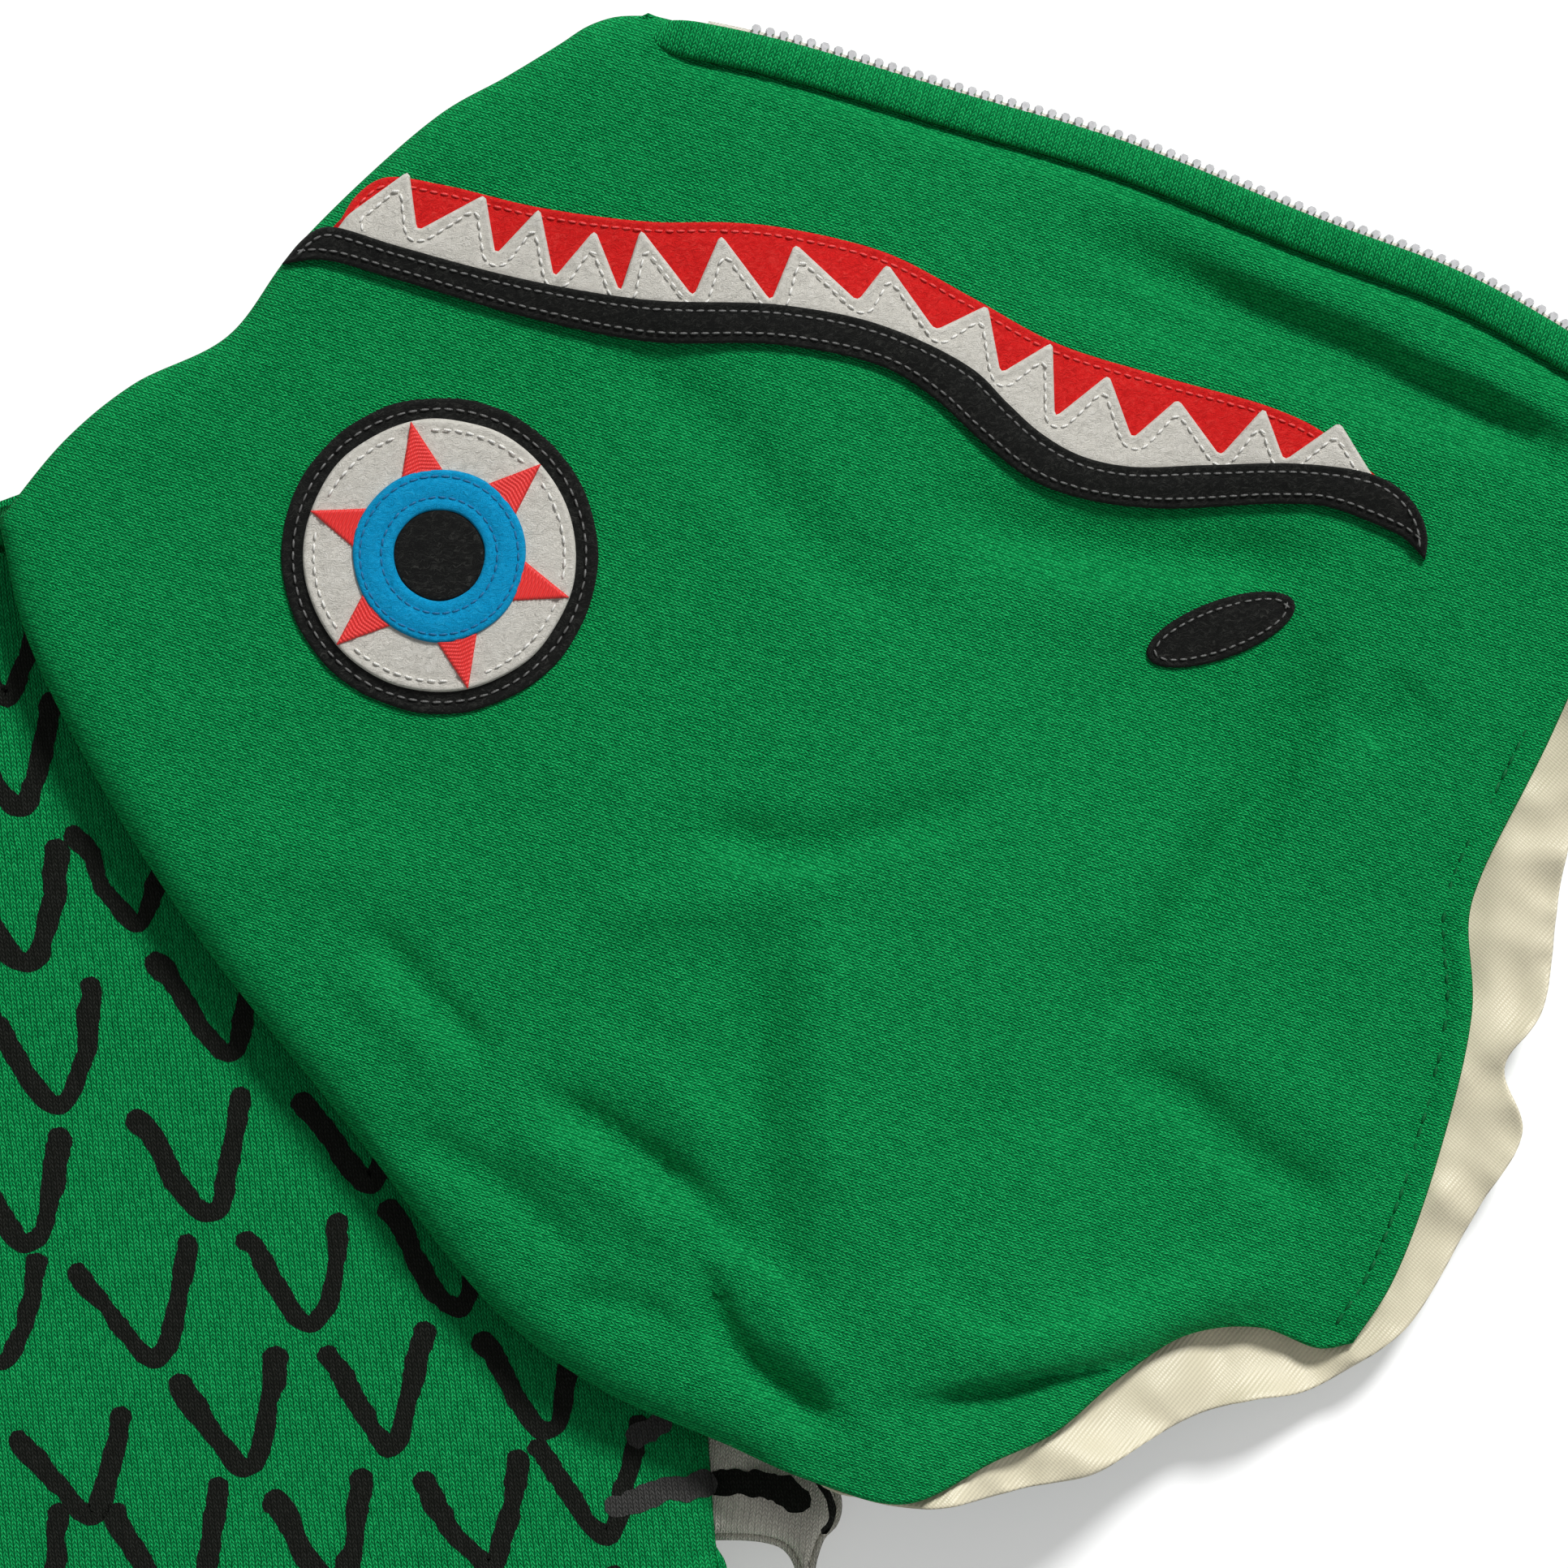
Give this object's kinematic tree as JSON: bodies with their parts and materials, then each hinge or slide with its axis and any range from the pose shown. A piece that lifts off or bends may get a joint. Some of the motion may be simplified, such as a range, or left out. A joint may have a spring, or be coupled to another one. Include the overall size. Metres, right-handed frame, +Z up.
{
  "type": "folded creature hoodie",
  "caption": "Child's full-zip knit hoodie folded flat, hood laid to one side with a felt creature face of round eye, toothed mouth and nostril, on a metal zip.",
  "frame": {"origin": "on the surface it lies on, under the middle of the folded garment", "axes": "+Z up from the surface, +Y towards the neck, +X towards the side the hood lies on"},
  "size_m": [0.5111, 0.523, 0.0346],
  "materials": {
    "green_knit": "matte",
    "green_rib": "matte",
    "cream_knit": "matte",
    "cream_satin": "satin",
    "zip_tape": "matte",
    "zip_metal": "polished",
    "black_felt": "matte",
    "white_felt": "matte",
    "red_felt": "matte",
    "red_thread": "satin",
    "blue_felt": "matte"
  },
  "bodies": {
    "torso": {"front_right_panel": "green_knit", "front_left_panel": "green_knit", "back_panel": "green_knit", "hem_front_right": "green_rib", "hem_front_left": "green_rib", "hem_back": "green_rib", "collar_front_right": "green_knit", "collar_front_left": "green_knit", "collar_back": "green_knit", "collar_lining": "cream_satin", "hood_neck": "green_knit", "right_sleeve": "cream_knit", "left_sleeve": "cream_knit", "right_cuff": "green_rib", "left_cuff": "green_rib", "right_pocket": "green_knit", "left_pocket": "green_knit", "zip_tape_right": "zip_tape", "zip_tape_left": "zip_tape", "zip_teeth_right": "zip_metal", "zip_teeth_left": "zip_metal", "zip_top_stops": "zip_metal", "zip_retainer_box": "zip_metal", "zip_insertion_pin": "zip_metal"},
    "slider": {"zip_slider": "zip_metal"},
    "pull": {"zip_pull": "zip_metal"},
    "hood": {"hood_upper_panel": "green_knit", "hood_lower_panel": "green_knit", "hood_gusset": "green_knit", "hood_upper_lining": "cream_satin", "hood_lower_lining": "cream_satin", "hood_upper_welt": "green_knit", "hood_lower_welt": "green_knit", "hood_upper_tape": "zip_tape", "hood_lower_tape": "zip_tape", "hood_upper_teeth": "zip_metal", "hood_lower_teeth": "zip_metal", "upper_eye_rim": "black_felt", "upper_eye_white": "white_felt", "upper_eye_star": "red_thread", "upper_eye_iris": "blue_felt", "upper_eye_pupil": "black_felt", "upper_mouth_red": "red_felt", "upper_mouth_teeth": "white_felt", "upper_mouth_lip": "black_felt", "upper_nostril": "black_felt", "lower_eye_rim": "black_felt", "lower_eye_white": "white_felt", "lower_eye_star": "red_thread", "lower_eye_iris": "blue_felt", "lower_eye_pupil": "black_felt", "lower_mouth_red": "red_felt", "lower_mouth_teeth": "white_felt", "lower_mouth_lip": "black_felt", "lower_nostril": "black_felt"}
  },
  "joints": [
    {"name": "slider_travel", "type": "slide", "parent": "torso", "child": "slider", "axis": [0, -1, 0], "range_m": [0, 0.4]},
    {"name": "pull_swing", "type": "hinge", "parent": "slider", "child": "pull", "pos_m": [-0.07274, 0.1759, 0.02035], "axis": [-1, 0, 0], "range_deg": [0, 170]},
    {"name": "hood_lift", "type": "hinge", "parent": "torso", "child": "hood", "pos_m": [0.00286, 0.1971, 0.0266], "axis": [0, -1, 0], "range_deg": [0, 75]}
  ]
}
